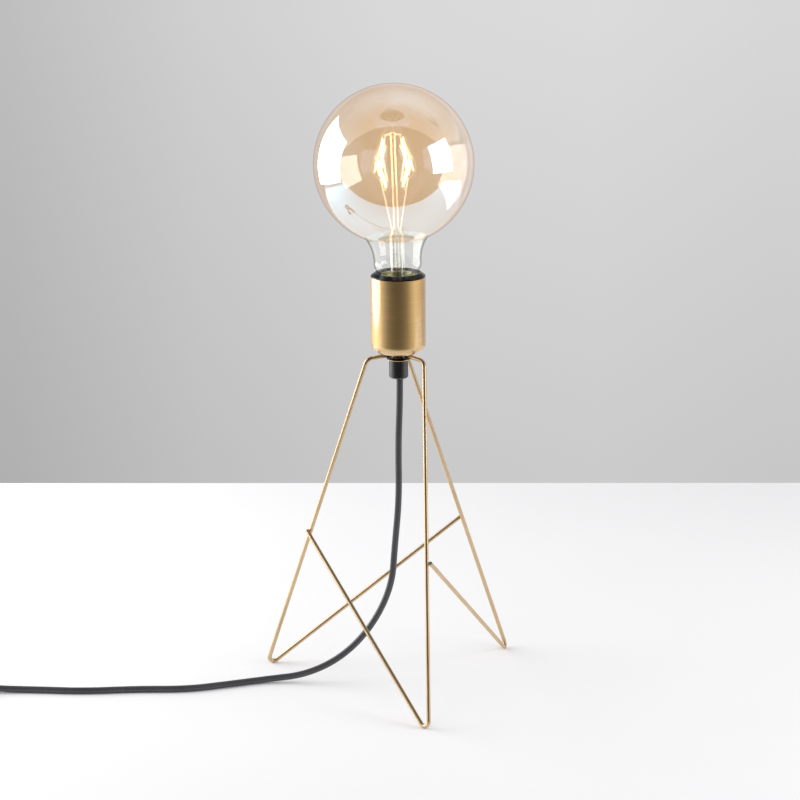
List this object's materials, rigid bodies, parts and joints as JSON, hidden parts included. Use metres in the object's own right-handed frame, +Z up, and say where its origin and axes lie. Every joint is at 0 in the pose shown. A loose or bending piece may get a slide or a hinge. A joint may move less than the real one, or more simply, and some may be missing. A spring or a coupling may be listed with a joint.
{
  "type": "table lamp",
  "caption": "Table lamp with a bare globe bulb in a brass cup on a tripod of bent wire, with a corded rocker switch and plug.",
  "frame": {"origin": "on the surface that the lamp stands on, below the holder's axis", "axes": "+Z up along the holder's axis, +Y away from the viewer of the picture, +X to that viewer's right"},
  "size_m": [0.5782, 0.1909, 0.4845],
  "materials": {
    "brass_wire": "satin lacquer",
    "satin_brass": "satin",
    "brass": "plain",
    "steel": "plain",
    "nickel": "plated",
    "black_plastic": "smooth",
    "grip_plastic": "satin",
    "switch_plastic": "smooth",
    "plug_plastic": "fine grain",
    "tie_plastic": "smooth",
    "tinted_glass": "amber tint",
    "clear_glass": "clear",
    "filament": "glowing",
    "board": "plain",
    "cord_black": "satin",
    "core_brown": "smooth",
    "core_blue": "smooth"
  },
  "bodies": {
    "lamp": {"leg_wire_right": "brass_wire", "leg_wire_left": "brass_wire", "leg_wire_front": "brass_wire", "hub_washer": "brass_wire", "threaded_nipple": "steel", "base_bush": "steel", "bush_grub_screw": "steel", "cord_grip": "grip_plastic", "grip_clamp_screw": "grip_plastic", "cord_tail": "cord_black", "live_core": "core_brown", "neutral_core": "core_blue", "holder_cup": "satin_brass", "socket_base": "black_plastic", "socket_barrel": "black_plastic", "screw_shell": "brass", "centre_contact": "brass", "shell_contact": "brass", "terminal_blocks": "brass", "terminal_screws": "steel", "cord_hanging": "cord_black", "cord_to_coil": "cord_black", "cord_coil": "cord_black", "cord_to_plug": "cord_black", "coil_ties": "tie_plastic", "switch_base": "switch_plastic", "switch_cover": "switch_plastic", "switch_screws": "steel", "rocker_pin": "steel", "switch_contacts": "brass", "switch_cores": "core_brown", "cord_clamps": "switch_plastic", "plug_body": "plug_plastic", "plug_pins": "nickel", "pin_sleeves": "plug_plastic", "plug_strain_relief": "plug_plastic"},
    "bulb_carrier": {"bulb_insulator": "black_plastic", "bulb_centre_contact": "nickel"},
    "bulb": {"bulb_cap": "brass", "bulb_glass": "tinted_glass", "bulb_stem": "clear_glass", "bulb_filaments": "filament", "bulb_support_wires": "nickel", "bulb_lead_wires": "nickel", "driver_board": "board", "driver_components": "black_plastic"},
    "rocker": {"switch_rocker": "switch_plastic"},
    "seesaw": {"contact_seesaw": "brass"}
  },
  "joints": [
    {"name": "bulb_lift", "type": "slide", "parent": "lamp", "child": "bulb_carrier", "axis": [0, 0, 1], "range_m": [0, 0.01452]},
    {"name": "bulb_turn", "type": "hinge", "parent": "bulb_carrier", "child": "bulb", "pos_m": [0, 0, 0.3352], "axis": [0, 0, 1], "range_deg": [0, 1440]},
    {"name": "rocker_tip", "type": "hinge", "parent": "lamp", "child": "rocker", "pos_m": [-0.382, -0.026, 0.0126], "axis": [0, -1, 0], "range_deg": [0, 20]},
    {"name": "seesaw_tip", "type": "hinge", "parent": "lamp", "child": "seesaw", "pos_m": [-0.382, -0.026, 0.00455], "axis": [0, 1, 0], "range_deg": [0, 12.01]}
  ],
  "couplings": [
    {"joint": "bulb_lift", "follows": "bulb_turn", "m_per_rad": 0.00057757},
    {"joint": "seesaw_tip", "follows": "rocker_tip", "ratio": 0.6}
  ]
}
